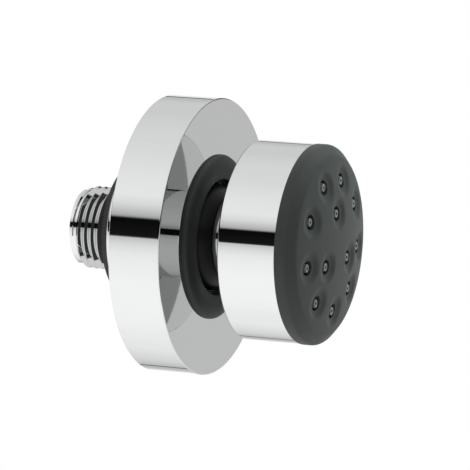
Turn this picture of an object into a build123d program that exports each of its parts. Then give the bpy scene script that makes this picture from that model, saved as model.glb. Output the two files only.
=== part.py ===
from build123d import *
import os
from math import cos, radians, sin, sqrt

# Shower body jet: a wall plate, a ball joint held by a dark collar, and a round spray head.
# Millimetres. The origin is the centre of the finished wall plane, +Z is up, and the jet
# leaves along -Y. Each piece is turned in its own frame as (radius, distance from the wall),
# and laid along -Y when it is written.

# Wall plate
PLATE_RADIUS = 35.0
PLATE_DEPTH = 13.6
PLATE_WALL = 1.4
PLATE_EDGE = 0.8
PLATE_SLEEVE_WALL = 1.35
PLATE_SLEEVE_LENGTH = 4.8
PLATE_HOLE_CLEARANCE = 0.15
WALL_SEAL_WIDTH = 2.0
WALL_SEAL_DEPTH = 2.5

# Inlet body: threaded stub, shoulder and ball chamber in one turning
STUB_RADIUS = 10.48
STUB_LENGTH = 14.0
STUB_RELIEF = 0.9
STUB_RELIEF_LENGTH = 2.6
STUB_CHAMFER = 1.0
BODY_RADIUS = 18.0
BODY_BEHIND_WALL = 8.5
BODY_EDGE = 0.6
BODY_FRONT_INSET = 0.6
CHAMBER_RADIUS = 14.5
CHAMBER_FLOOR = 3.1
WATERWAY_RADIUS = 6.0
COLLAR_THREAD_RADIUS = 16.0
COLLAR_THREAD_LENGTH = 7.5
INLET_WASHER_RADIUS = 16.0
INLET_WASHER_THICKNESS = 2.0

# Strainer and flow limiter in the stub
STUB_BORE_RADIUS = 8.2
STUB_BORE_LENGTH = 10.4
STRAINER_FLANGE_RADIUS = 9.1
STRAINER_FLANGE = 0.9
STRAINER_LENGTH = 5.0
STRAINER_WALL = 0.7
STRAINER_SLOTS = 10
STRAINER_SLOT_WIDTH = 1.3
STRAINER_HUB_RADIUS = 2.9
LIMITER_LENGTH = 4.0
LIMITER_RIM_WALL = 2.4
LIMITER_WEB = 1.6
LIMITER_HOLES = 6
LIMITER_HOLE_RADIUS = 1.0

# Ball joint
BALL_RADIUS = 14.2
BALL_CENTRE = 8.7
BALL_BORE_RADIUS = 6.0
BALL_GAP = 0.06
SEAT_BORE_RADIUS = 10.2
SEAT_REAR = -3.0
SEAT_FRONT = 2.0
BALL_SEAL_ANGLE = 55.0
SPRING_THICKNESS = 0.5
SPRING_INNER_RADIUS = 11.0
FRICTION_RING_REAR = 10.2

# Collar
COLLAR_RADIUS = 20.8
COLLAR_EDGE_HEIGHT = 0.9
COLLAR_EDGE_ROUND = 0.55
COLLAR_CROWN = 1.7
COLLAR_RIM_RADIUS = 14.55
COLLAR_RIM_ROUND = 0.45
COLLAR_LIP_RADIUS = 13.95
COLLAR_LIP_REAR = 12.6
COLLAR_LIP_THICKNESS = 0.8
COLLAR_SKIRT_WALL = 1.05

# Neck
NECK_RADIUS = 11.2
NECK_BORE_RADIUS = 5.5
NECK_TAIL_RADIUS = 8.55
NECK_TAIL_LENGTH = 7.3
NECK_EDGE = 0.3
SPIGOT_RADIUS = 8.5
SPIGOT_LENGTH = 8.2

# Head
HEAD_RADIUS = 25.2
HEAD_REAR = 24.8
HEAD_FRONT = 40.1
HEAD_WALL = 1.5
HEAD_BACK_WALL = 1.6
HEAD_REAR_EDGE = 0.55
GASKET_THICKNESS = 0.9
GASKET_RADIUS = 12.5
WATER_BACK_WALL = 2.0
WATER_RADIUS = 21.8
WATER_INNER_RADIUS = 18.6
DIFFUSER_SEAT_RADIUS = 19.8
DIFFUSER_SEAT_DEPTH = 3.8
DIFFUSER_THICKNESS = 1.8
DIFFUSER_HOLE_RADIUS = 1.1
WATER_FRONT = 39.4
NUT_ACROSS_FLATS = 20.0
NUT_HEIGHT = 2.7
HEAD_RING_FROM_BACK = 5.7

# Spray face and nozzles
FACE_CENTRE = 47.7
FACE_DOME_RADIUS = 92.0
FACE_SIDE_HEIGHT = 2.6
FACE_SHOULDER_RADIUS = 22.6
FACE_SHOULDER_ROUND = 2.6
FACE_CORNER_ROUND = 1.6
FACE_SKIRT_WALL = 1.7
FACE_SKIRT_LENGTH = 9.0
FACE_WALL = 2.4
FACE_LAND = 1.6
MAT_THICKNESS = 1.6
NOZZLE_RINGS = ((9, 16.6, -90.0), (3, 8.2, 90.0))
NOZZLE_HOLE_RADIUS = 1.85
NOZZLE_SLEEVE_RADIUS = 3.4
NOZZLE_SINK = 0.55
NOZZLE_TIP_RADIUS = 1.35
NOZZLE_ROOT_RADIUS = 1.75
NOZZLE_BORE_RADIUS = 0.5
CRATER_RADIUS = 3.9
CRATER_DEPTH = 1.15
CRATER_ROUND = 1.1

# Fits, as gaps on the radius
THREAD_GAP = 0.05
SLIDE_GAP = 0.1
SEAL_GAP = 0.02
FACE_GAP = 0.02

# O-ring sections, as wire radii
PLATE_RING_WIRE = 0.65
LIMITER_RING_WIRE = 0.75
SEAT_RING_WIRE = 0.8
BALL_SEAL_WIRE = 0.8
NECK_RING_WIRE = 0.7
HEAD_RING_WIRE = 0.75

# Places worked out from the sizes above
BODY_FRONT = PLATE_DEPTH - BODY_FRONT_INSET
BODY_REAR = -BODY_BEHIND_WALL
STUB_REAR = BODY_REAR - STUB_LENGTH
CHAMBER_REAR = BODY_REAR + CHAMBER_FLOOR
THREAD_REAR = BODY_FRONT - COLLAR_THREAD_LENGTH
PLATE_HOLE_RADIUS = BODY_RADIUS + PLATE_HOLE_CLEARANCE
PLATE_RING_PLACE = PLATE_DEPTH - PLATE_WALL - PLATE_SLEEVE_LENGTH / 2
STUB_BORE_FRONT = STUB_REAR + STUB_BORE_LENGTH
BALL_FRONT = BALL_CENTRE + sqrt(BALL_RADIUS**2 - NECK_RADIUS**2)
BALL_REAR = BALL_CENTRE - sqrt(BALL_RADIUS**2 - BALL_BORE_RADIUS**2)
SEAT_RADIUS = CHAMBER_RADIUS - SLIDE_GAP
SEAT_RING_PLACE = (SEAT_REAR * 3 + SEAT_FRONT) / 4
NECK_REAR = BALL_FRONT + FACE_GAP
TAIL_REAR = NECK_REAR - NECK_TAIL_LENGTH
HEAD_INSIDE = HEAD_REAR + HEAD_BACK_WALL
WATER_REAR = HEAD_INSIDE + GASKET_THICKNESS
WATER_FLOOR = WATER_REAR + WATER_BACK_WALL
DIFFUSER_REAR = WATER_FRONT - DIFFUSER_SEAT_DEPTH
HEAD_RING_PLACE = WATER_REAR + HEAD_RING_FROM_BACK
FACE_BACK = WATER_FRONT + MAT_THICKNESS
FACE_SKIRT_RADIUS = HEAD_RADIUS - HEAD_WALL - SLIDE_GAP
FACE_SKIRT_INNER = WATER_RADIUS + SLIDE_GAP
DOME_CENTRE = FACE_CENTRE - FACE_DOME_RADIUS


def turned(corners, rounds=()):
    """Turns a closed outline of (radius, distance) corners about the axis, some corners rounded."""
    outline = make_face(Plane.XZ * Polyline(*corners, close=True))
    for (radius, distance), size in rounds:
        corner = outline.vertices().sort_by_distance((radius, 0, distance))[0]
        outline = fillet(corner, size)
    return revolve(outline, Axis.Z)


def tube(inner, outer, rear, front):
    """A plain ring between two radii and two distances."""
    return turned([(inner, rear), (outer, rear), (outer, front), (inner, front)])


def rod(radius, rear, front):
    """A round bar along the axis."""
    return Pos(0, 0, (rear + front) / 2) * Cylinder(radius, front - rear)


def o_ring(middle, place, wire):
    """A round-section ring."""
    return Pos(0, 0, place) * Torus(middle, wire)


def groove(floor, top, place, wire):
    """The square groove that takes a round-section ring, as a ring to cut."""
    return tube(floor, top, place - wire - SLIDE_GAP, place + wire + SLIDE_GAP)


def ball_space(gap):
    """The ball with a gap round it, to cut from what holds the ball."""
    return Pos(0, 0, BALL_CENTRE) * Sphere(BALL_RADIUS + gap)


def dome_height(radius):
    """How far the domed face stands from the wall at a radius."""
    return DOME_CENTRE + sqrt(FACE_DOME_RADIUS**2 - radius**2)


def nozzle_places():
    """Each nozzle's place across the face, as (x, y, radius)."""
    places = []
    for count, ring, start in NOZZLE_RINGS:
        for step in range(count):
            angle = radians(start + step * 360 / count)
            places.append((ring * cos(angle), ring * sin(angle), ring))
    return places


def inlet_body():
    """The brass turning that screws into the wall outlet and holds the ball."""
    washer_bore = STUB_RADIUS - STUB_RELIEF
    outer = turned(
        [
            (0, STUB_REAR),
            (STUB_RADIUS - STUB_CHAMFER, STUB_REAR),
            (STUB_RADIUS, STUB_REAR + STUB_CHAMFER),
            (STUB_RADIUS, BODY_REAR - STUB_RELIEF_LENGTH),
            (washer_bore, BODY_REAR - STUB_RELIEF_LENGTH),
            (washer_bore, BODY_REAR),
            (BODY_RADIUS, BODY_REAR),
            (BODY_RADIUS, BODY_FRONT),
            (0, BODY_FRONT),
        ],
        [((BODY_RADIUS, BODY_REAR), BODY_EDGE), ((BODY_RADIUS, BODY_FRONT), BODY_EDGE / 2)],
    )
    inner = turned(
        [
            (0, STUB_REAR),
            (STRAINER_FLANGE_RADIUS + SLIDE_GAP, STUB_REAR),
            (STRAINER_FLANGE_RADIUS + SLIDE_GAP, STUB_REAR + STRAINER_FLANGE),
            (STUB_BORE_RADIUS, STUB_REAR + STRAINER_FLANGE),
            (STUB_BORE_RADIUS, STUB_BORE_FRONT),
            (WATERWAY_RADIUS, STUB_BORE_FRONT),
            (WATERWAY_RADIUS, CHAMBER_REAR),
            (CHAMBER_RADIUS, CHAMBER_REAR),
            (CHAMBER_RADIUS, THREAD_REAR),
            (COLLAR_THREAD_RADIUS, THREAD_REAR),
            (COLLAR_THREAD_RADIUS, BODY_FRONT),
            (0, BODY_FRONT),
        ]
    )
    ring_floor = PLATE_HOLE_RADIUS - 2 * PLATE_RING_WIRE - 2 * SEAL_GAP
    return outer - inner - groove(ring_floor, BODY_RADIUS + 1, PLATE_RING_PLACE, PLATE_RING_WIRE)


def inlet_washer():
    """The flat rubber washer behind the body's shoulder, over the stub."""
    return tube(
        STUB_RADIUS + SLIDE_GAP, INLET_WASHER_RADIUS, BODY_REAR - INLET_WASHER_THICKNESS, BODY_REAR
    )


def strainer():
    """The slotted cup that keeps grit out of the inlet."""
    cup_radius = STUB_BORE_RADIUS - SLIDE_GAP
    cup_front = STUB_REAR + STRAINER_LENGTH
    cup = turned(
        [
            (cup_radius - STRAINER_WALL, STUB_REAR),
            (STRAINER_FLANGE_RADIUS, STUB_REAR),
            (STRAINER_FLANGE_RADIUS, STUB_REAR + STRAINER_FLANGE),
            (cup_radius, STUB_REAR + STRAINER_FLANGE),
            (cup_radius, cup_front),
            (0, cup_front),
            (0, cup_front - STRAINER_WALL),
            (cup_radius - STRAINER_WALL, cup_front - STRAINER_WALL),
        ]
    )
    slot_length = cup_radius - STRAINER_HUB_RADIUS - STRAINER_WALL
    slot = Pos(STRAINER_HUB_RADIUS + slot_length / 2, 0, cup_front) * Box(
        slot_length, STRAINER_SLOT_WIDTH, 4 * STRAINER_WALL
    )
    return cup - [Rot(0, 0, step * 360 / STRAINER_SLOTS) * slot for step in range(STRAINER_SLOTS)]


def limiter_radius():
    """The flow limiter's outer radius, a sliding fit in the stub's bore."""
    return STUB_BORE_RADIUS - SLIDE_GAP


def limiter_place():
    """The middle of the flow limiter, with its front against the step of the bore."""
    return STUB_BORE_FRONT - FACE_GAP - LIMITER_LENGTH / 2


def flow_limiter():
    """The insert that meters the water: a rim, a web with holes and a pin."""
    front = STUB_BORE_FRONT - FACE_GAP
    rear = front - LIMITER_LENGTH
    radius = limiter_radius()
    rim = tube(radius - LIMITER_RIM_WALL, radius, rear, front)
    web = rod(radius - LIMITER_RIM_WALL + 0.5, front - LIMITER_WEB, front)
    pin = rod(LIMITER_HOLE_RADIUS * 1.4, rear + LIMITER_WEB / 2, front)
    hole = Pos((radius - LIMITER_RIM_WALL) * 0.66, 0, front) * Cylinder(LIMITER_HOLE_RADIUS, 3 * LIMITER_WEB)
    holes = [Rot(0, 0, step * 360 / LIMITER_HOLES) * hole for step in range(LIMITER_HOLES)]
    floor = STUB_BORE_RADIUS - 2 * LIMITER_RING_WIRE - 2 * SEAL_GAP
    seat = groove(floor, radius + 1, limiter_place(), LIMITER_RING_WIRE)
    return rim + web + pin - holes - seat


def limiter_ring():
    """The ring that seals the flow limiter in the stub."""
    return o_ring(STUB_BORE_RADIUS - LIMITER_RING_WIRE - SEAL_GAP, limiter_place(), LIMITER_RING_WIRE)


def escutcheon():
    """The chromed wall plate: a shallow cup with a sleeve round its hole."""
    inside = PLATE_DEPTH - PLATE_WALL
    sleeve_radius = PLATE_HOLE_RADIUS + PLATE_SLEEVE_WALL
    sleeve_rear = inside - PLATE_SLEEVE_LENGTH
    return turned(
        [
            (PLATE_RADIUS - PLATE_WALL, 0),
            (PLATE_RADIUS, 0),
            (PLATE_RADIUS, PLATE_DEPTH),
            (PLATE_HOLE_RADIUS, PLATE_DEPTH),
            (PLATE_HOLE_RADIUS, sleeve_rear),
            (sleeve_radius, sleeve_rear),
            (sleeve_radius, inside),
            (PLATE_RADIUS - PLATE_WALL, inside),
        ],
        [
            ((PLATE_RADIUS, PLATE_DEPTH), PLATE_EDGE),
            ((PLATE_RADIUS - PLATE_WALL, inside), PLATE_EDGE),
            ((sleeve_radius, inside), PLATE_EDGE),
        ],
    )


def escutcheon_ring():
    """The ring that grips the wall plate on the body."""
    return o_ring(PLATE_HOLE_RADIUS - PLATE_RING_WIRE - SEAL_GAP, PLATE_RING_PLACE, PLATE_RING_WIRE)


def wall_seal():
    """The foam strip inside the plate's rear rim, flush with the wall."""
    outer = PLATE_RADIUS - PLATE_WALL - SEAL_GAP
    return tube(outer - WALL_SEAL_WIDTH, outer, 0, WALL_SEAL_DEPTH)


def collar():
    """The dark ring nut that holds the ball, with a crowned front and a retaining lip."""
    skirt_radius = COLLAR_THREAD_RADIUS - THREAD_GAP
    skirt_inner = skirt_radius - COLLAR_SKIRT_WALL
    skirt_rear = THREAD_REAR + BODY_EDGE
    edge = PLATE_DEPTH + COLLAR_EDGE_HEIGHT
    crown = PLATE_DEPTH + COLLAR_CROWN
    lip_front = COLLAR_LIP_REAR + COLLAR_LIP_THICKNESS
    corners = [
        (skirt_inner, skirt_rear),
        (skirt_radius, skirt_rear),
        (skirt_radius, PLATE_DEPTH),
        (COLLAR_RADIUS, PLATE_DEPTH),
        (COLLAR_RADIUS, edge),
        ((COLLAR_RADIUS + COLLAR_RIM_RADIUS) / 2, crown - COLLAR_CROWN * 0.08),
        (COLLAR_RIM_RADIUS, crown),
        (COLLAR_LIP_RADIUS, lip_front),
        (COLLAR_LIP_RADIUS, COLLAR_LIP_REAR),
        (skirt_inner, COLLAR_LIP_REAR),
    ]
    return turned(
        corners, [(corners[4], COLLAR_EDGE_ROUND), (corners[5], 4.0), (corners[6], COLLAR_RIM_ROUND)]
    )


def friction_ring():
    """The ring between the ball and the collar's lip that keeps the ball where it is set."""
    outer = COLLAR_THREAD_RADIUS - THREAD_GAP - COLLAR_SKIRT_WALL - FACE_GAP
    blank = tube(BALL_RADIUS / 2, outer, FRICTION_RING_REAR, COLLAR_LIP_REAR - FACE_GAP)
    return blank - ball_space(BALL_GAP)


def disc_spring(front):
    """One of the two coned spring washers that push the seat against the ball."""
    room = SEAT_REAR - CHAMBER_REAR
    height = room / 2 - FACE_GAP
    outer = SEAT_RADIUS - SLIDE_GAP
    slope = [
        (SPRING_INNER_RADIUS, 0),
        (SPRING_INNER_RADIUS, SPRING_THICKNESS),
        (outer, height),
        (outer, height - SPRING_THICKNESS),
    ]
    if front:
        return turned([(radius, SEAT_REAR - FACE_GAP / 2 - rise) for radius, rise in slope])
    return turned([(radius, CHAMBER_REAR + FACE_GAP / 2 + rise) for radius, rise in slope])


def ball_seal_middle():
    """The ball seal's middle radius and distance, round the back of the ball."""
    reach = BALL_RADIUS + BALL_SEAL_WIRE + SEAL_GAP
    angle = radians(BALL_SEAL_ANGLE)
    return reach * sin(angle), BALL_CENTRE - reach * cos(angle)


def ball_seat():
    """The sliding seat behind the ball, hollowed to its shape and grooved for two rings."""
    blank = tube(SEAT_BORE_RADIUS, SEAT_RADIUS, SEAT_REAR, SEAT_FRONT)
    radius, place = ball_seal_middle()
    seal_groove = o_ring(radius, place, BALL_SEAL_WIRE + SEAL_GAP)
    floor = CHAMBER_RADIUS - 2 * SEAT_RING_WIRE - 2 * SEAL_GAP
    ring_groove = groove(floor, SEAT_RADIUS + 1, SEAT_RING_PLACE, SEAT_RING_WIRE)
    return blank - ball_space(BALL_GAP) - seal_groove - ring_groove


def seat_ring():
    """The ring that seals the seat in the ball chamber."""
    return o_ring(CHAMBER_RADIUS - SEAT_RING_WIRE - SEAL_GAP, SEAT_RING_PLACE, SEAT_RING_WIRE)


def ball_seal():
    """The ring in the seat that seals on the ball."""
    radius, place = ball_seal_middle()
    return o_ring(radius, place, BALL_SEAL_WIRE)


def swivel_ball():
    """The bored ball, with a flat and a threaded socket for the neck."""
    ball = ball_space(0) & rod(BALL_RADIUS + 1, BALL_REAR, BALL_FRONT)
    bore = rod(BALL_BORE_RADIUS, BALL_REAR - 1, BALL_FRONT)
    socket = rod(NECK_TAIL_RADIUS + THREAD_GAP, TAIL_REAR - FACE_GAP, BALL_FRONT + 1)
    return ball - bore - socket


def neck_ring_place():
    """The middle of the neck ring, near the end of the neck's tail."""
    return TAIL_REAR + NECK_RING_WIRE * 2.5


def neck():
    """The chromed neck, with a tail for the ball and a threaded spigot for the head."""
    outer = turned(
        [
            (NECK_BORE_RADIUS, TAIL_REAR),
            (NECK_TAIL_RADIUS, TAIL_REAR),
            (NECK_TAIL_RADIUS, NECK_REAR),
            (NECK_RADIUS, NECK_REAR),
            (NECK_RADIUS, HEAD_REAR),
            (SPIGOT_RADIUS, HEAD_REAR),
            (SPIGOT_RADIUS, HEAD_REAR + SPIGOT_LENGTH),
            (NECK_BORE_RADIUS, HEAD_REAR + SPIGOT_LENGTH),
        ],
        [((NECK_RADIUS, NECK_REAR), NECK_EDGE)],
    )
    floor = NECK_TAIL_RADIUS + THREAD_GAP - 2 * NECK_RING_WIRE - 2 * SEAL_GAP
    return outer - groove(floor, NECK_TAIL_RADIUS + 1, neck_ring_place(), NECK_RING_WIRE)


def neck_ring():
    """The ring that seals the neck in the ball."""
    middle = NECK_TAIL_RADIUS + THREAD_GAP - NECK_RING_WIRE - SEAL_GAP
    return o_ring(middle, neck_ring_place(), NECK_RING_WIRE)


def head_shell():
    """The chromed cup of the head."""
    inner = HEAD_RADIUS - HEAD_WALL
    hole = SPIGOT_RADIUS + SLIDE_GAP
    return turned(
        [
            (hole, HEAD_REAR),
            (HEAD_RADIUS, HEAD_REAR),
            (HEAD_RADIUS, HEAD_FRONT),
            (inner, HEAD_FRONT),
            (inner, HEAD_INSIDE),
            (hole, HEAD_INSIDE),
        ],
        [((HEAD_RADIUS, HEAD_REAR), HEAD_REAR_EDGE), ((inner, HEAD_INSIDE), HEAD_REAR_EDGE)],
    )


def neck_gasket():
    """The flat gasket between the shell and the water chamber."""
    return tube(SPIGOT_RADIUS + SLIDE_GAP, GASKET_RADIUS, HEAD_INSIDE, WATER_REAR)


def water_chamber():
    """The inner cup that spreads the water behind the nozzles."""
    cup = turned(
        [
            (SPIGOT_RADIUS + SLIDE_GAP, WATER_REAR),
            (WATER_RADIUS, WATER_REAR),
            (WATER_RADIUS, WATER_FRONT),
            (DIFFUSER_SEAT_RADIUS, WATER_FRONT),
            (DIFFUSER_SEAT_RADIUS, DIFFUSER_REAR),
            (WATER_INNER_RADIUS, DIFFUSER_REAR),
            (WATER_INNER_RADIUS, WATER_FLOOR),
            (SPIGOT_RADIUS + SLIDE_GAP, WATER_FLOOR),
        ],
        [((WATER_RADIUS, WATER_REAR), HEAD_REAR_EDGE)],
    )
    floor = FACE_SKIRT_INNER - 2 * HEAD_RING_WIRE - 2 * SEAL_GAP
    return cup - groove(floor, WATER_RADIUS + 1, HEAD_RING_PLACE, HEAD_RING_WIRE)


def head_ring():
    """The ring that seals the water chamber in the spray face's skirt."""
    return o_ring(FACE_SKIRT_INNER - HEAD_RING_WIRE - SEAL_GAP, HEAD_RING_PLACE, HEAD_RING_WIRE)


def head_nut():
    """The hexagon nut that clamps shell and chamber on the neck."""
    corner_radius = NUT_ACROSS_FLATS / 2 / cos(radians(30))
    blank = extrude(RegularPolygon(corner_radius, 6), NUT_HEIGHT)
    chamfer_cone = turned(
        [
            (0, 0),
            (corner_radius + 1, 0),
            (corner_radius + 1, NUT_HEIGHT - 1.2),
            (NUT_ACROSS_FLATS / 2, NUT_HEIGHT),
            (0, NUT_HEIGHT),
        ]
    )
    bore = rod(SPIGOT_RADIUS + THREAD_GAP, -1, NUT_HEIGHT + 1)
    return Pos(0, 0, WATER_FLOOR) * ((blank & chamfer_cone) - bore)


def diffuser_disc():
    """The pierced disc that evens out the flow."""
    disc = rod(DIFFUSER_SEAT_RADIUS - SLIDE_GAP, DIFFUSER_REAR, DIFFUSER_REAR + DIFFUSER_THICKNESS)
    hole = Cylinder(DIFFUSER_HOLE_RADIUS, 4 * DIFFUSER_THICKNESS)
    return disc - [Pos(x, y, DIFFUSER_REAR) * hole for x, y, ring in nozzle_places()]


def nozzle_mat():
    """The silicone mat with a soft bored nozzle for each hole of the face."""
    mat = rod(FACE_SKIRT_INNER - SLIDE_GAP, WATER_FRONT, FACE_BACK)
    for x, y, ring in nozzle_places():
        tip = dome_height(ring) - CRATER_DEPTH + NOZZLE_SINK
        nub = turned(
            [(0, WATER_FRONT), (NOZZLE_ROOT_RADIUS, WATER_FRONT), (NOZZLE_ROOT_RADIUS, FACE_BACK),
             (NOZZLE_TIP_RADIUS, tip), (0, tip)]
        )
        mat += Pos(x, y, 0) * nub
    bore = rod(NOZZLE_BORE_RADIUS, WATER_FRONT - 1, FACE_CENTRE + 1)
    return mat - [Pos(x, y, 0) * bore for x, y, ring in nozzle_places()]


def face_shell():
    """The spray face before its nozzles: a domed cap with a skirt, hollow behind."""
    side = HEAD_FRONT + FACE_SIDE_HEIGHT
    shoulder = dome_height(FACE_SHOULDER_RADIUS)
    rim = FACE_SKIRT_INNER - FACE_LAND
    outline = Plane.XZ * (
        Polyline(
            (0, FACE_BACK), (FACE_SKIRT_INNER, FACE_BACK),
            (FACE_SKIRT_INNER, HEAD_FRONT - FACE_SKIRT_LENGTH),
            (FACE_SKIRT_RADIUS, HEAD_FRONT - FACE_SKIRT_LENGTH),
            (FACE_SKIRT_RADIUS, HEAD_FRONT), (HEAD_RADIUS, HEAD_FRONT),
            (HEAD_RADIUS, side), (FACE_SHOULDER_RADIUS, shoulder),
        )
        + RadiusArc((FACE_SHOULDER_RADIUS, shoulder), (0, FACE_CENTRE), -FACE_DOME_RADIUS)
        + Line((0, FACE_CENTRE), (0, FACE_BACK))
    )
    section = make_face(outline)
    for place, size in (((FACE_SHOULDER_RADIUS, shoulder), FACE_SHOULDER_ROUND),
                        ((HEAD_RADIUS, side), FACE_CORNER_ROUND)):
        corner = section.vertices().sort_by_distance((place[0], 0, place[1]))[0]
        section = fillet(corner, size)
    cap = revolve(section, Axis.Z)
    pocket = rod(rim, FACE_BACK, FACE_CENTRE) & (
        Pos(0, 0, DOME_CENTRE) * Sphere(FACE_DOME_RADIUS - FACE_WALL)
    )
    return cap - pocket


def crater(ring):
    """The dished hollow round a nozzle, to cut square to the dome."""
    dish_radius = (CRATER_RADIUS**2 + CRATER_DEPTH**2) / (2 * CRATER_DEPTH)
    return Pos(0, 0, dome_height(ring) - CRATER_DEPTH + dish_radius) * Sphere(dish_radius)


def spray_face():
    """The dark spray face with a dished hollow and a hole round every nozzle."""
    face = face_shell()
    for x, y, ring in nozzle_places():
        sleeve = rod(NOZZLE_SLEEVE_RADIUS, FACE_BACK, dome_height(ring) - FACE_WALL / 2)
        face += Pos(x, y, 0) * sleeve
    before = face.edges()
    face -= [Pos(x, y, 0) * crater(ring) for x, y, ring in nozzle_places()]
    rims = face.edges() - before
    face = fillet(rims, CRATER_ROUND)
    hole = rod(NOZZLE_HOLE_RADIUS, FACE_BACK - 1, FACE_CENTRE + 1)
    return face - [Pos(x, y, 0) * hole for x, y, ring in nozzle_places()]


PIECES = {
    "inlet_body": inlet_body,
    "inlet_washer": inlet_washer,
    "inlet_strainer": strainer,
    "flow_limiter": flow_limiter,
    "limiter_ring": limiter_ring,
    "escutcheon": escutcheon,
    "escutcheon_ring": escutcheon_ring,
    "wall_seal": wall_seal,
    "collar": collar,
    "friction_ring": friction_ring,
    "disc_spring_rear": lambda: disc_spring(front=False),
    "disc_spring_front": lambda: disc_spring(front=True),
    "ball_seat": ball_seat,
    "seat_ring": seat_ring,
    "ball_seal": ball_seal,
    "swivel_ball": swivel_ball,
    "neck": neck,
    "neck_ring": neck_ring,
    "head_shell": head_shell,
    "neck_gasket": neck_gasket,
    "water_chamber": water_chamber,
    "head_ring": head_ring,
    "head_nut": head_nut,
    "diffuser_disc": diffuser_disc,
    "nozzle_mat": nozzle_mat,
    "spray_face": spray_face,
}


def main():
    """Builds every piece, lays it along -Y and writes it."""
    os.makedirs("parts", exist_ok=True)
    for name, make in PIECES.items():
        export_step(Rot(90, 0, 0) * make(), f"parts/{name}.step")


main()
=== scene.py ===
"""The looks of the shower body jet: its chrome, its dimpled face, nozzles and thread, and the studio."""

import logging
import math
from dataclasses import dataclass, field
from enum import Enum
from functools import lru_cache
from typing import Any, Callable, Sequence

import bmesh
import bpy
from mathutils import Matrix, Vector


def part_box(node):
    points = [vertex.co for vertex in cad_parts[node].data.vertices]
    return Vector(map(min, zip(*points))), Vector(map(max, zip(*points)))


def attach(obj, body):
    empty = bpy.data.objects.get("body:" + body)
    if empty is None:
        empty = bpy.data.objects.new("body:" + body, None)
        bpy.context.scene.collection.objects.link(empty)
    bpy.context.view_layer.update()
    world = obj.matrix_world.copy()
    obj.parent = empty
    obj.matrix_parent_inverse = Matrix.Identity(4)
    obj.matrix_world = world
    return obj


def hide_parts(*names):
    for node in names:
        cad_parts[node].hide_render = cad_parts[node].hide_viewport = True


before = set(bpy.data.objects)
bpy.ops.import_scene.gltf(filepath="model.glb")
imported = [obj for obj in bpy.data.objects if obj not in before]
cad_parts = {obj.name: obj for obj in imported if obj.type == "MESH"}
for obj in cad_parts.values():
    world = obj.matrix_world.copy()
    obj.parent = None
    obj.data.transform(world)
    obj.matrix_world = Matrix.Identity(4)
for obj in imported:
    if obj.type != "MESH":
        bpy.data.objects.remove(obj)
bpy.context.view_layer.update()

log = logging.getLogger("body_jet")

MM = 0.001
SEGMENTS = 192
ARC_STEPS = 8
SHARP_ANGLE = math.radians(28)
MERGE_DISTANCE = 0.002 * MM
ON_AXIS = 0.01 * MM
AXIS = Vector((0, 0)).freeze()

Colour = tuple[float, float, float, float]
Point = tuple[float, float, float]


def grey(value: float) -> Colour:
    """A neutral colour of one brightness."""
    return (value, value, value, 1.0)


def direction(azimuth: float, elevation: float) -> Vector:
    """The way from the object to a viewer, by azimuth and elevation in degrees."""
    turn, rise = math.radians(azimuth), math.radians(elevation)
    return Vector((math.sin(turn) * math.cos(rise), -math.cos(turn) * math.cos(rise), math.sin(rise)))


def circle(middle: Vector, radius: float, count: int) -> list[Vector]:
    """Evenly spaced points of a circle, across the jet's axis.

    Args:
        middle: the circle's middle as (x, z).
        radius: its radius.
        count: how many points it has.

    Returns:
        The points as (x, z).
    """
    turns = [math.tau * step / count for step in range(count)]
    return [middle + radius * Vector((math.sin(turn), math.cos(turn))) for turn in turns]


def add_object(name: str, data: bpy.types.ID) -> bpy.types.Object:
    """Makes an object and puts it in the scene.

    Args:
        name: its name.
        data: its mesh, lamp or camera.

    Returns:
        The object.
    """
    made = bpy.data.objects.new(name, data)
    bpy.context.scene.collection.objects.link(made)
    return made


def aim(thing: bpy.types.Object, target: Vector, azimuth: float, elevation: float, distance: float) -> None:
    """Points a camera or a lamp at a target.

    Args:
        thing: the camera or lamp.
        target: the point that it faces.
        azimuth: the side that it stands on, in degrees.
        elevation: its height above the target, in degrees.
        distance: its distance from the target.
    """
    towards = direction(azimuth, elevation)
    thing.location = target + distance * towards
    thing.rotation_euler = towards.to_track_quat("Z", "Y").to_euler()


@dataclass(frozen=True)
class Reach:
    """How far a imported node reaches: its outer radius, and its ends' distances from the wall."""

    radius: float
    rear: float
    front: float

    @classmethod
    @lru_cache(maxsize=None)
    def of(cls, node: str) -> "Reach":
        """Reads a node's box."""
        low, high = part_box(node)
        return cls(high[0], -high[1], -low[1])


@dataclass(frozen=True)
class Corner:
    """A corner of a turned outline, as a radius and a distance from the wall, which may be rounded."""

    radius: float
    distance: float
    rounding: float = 0.0

    @property
    def place(self) -> Vector:
        """The corner as a point."""
        return Vector((self.radius, self.distance))

    def rounded(self, before: Vector, after: Vector) -> list[Vector]:
        """The points that stand for the corner in an outline.

        Args:
            before: the corner before this one.
            after: the corner after it.

        Returns:
            The arc's points, or the corner itself where it is sharp.
        """
        if not self.rounding:
            return [self.place]
        back, onwards = (before - self.place).normalized(), (after - self.place).normalized()
        half = back.angle(onwards) / 2
        middle = self.place + (back + onwards).normalized() * self.rounding / math.sin(half)
        start, end = (self.place + way * self.rounding / math.tan(half) - middle for way in (back, onwards))
        first, last = math.atan2(start.y, start.x), math.atan2(end.y, end.x)
        swing = (last - first + math.pi) % math.tau - math.pi
        turns = [first + swing * step / ARC_STEPS for step in range(ARC_STEPS + 1)]
        return [middle + self.rounding * Vector((math.cos(turn), math.sin(turn))) for turn in turns]


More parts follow.
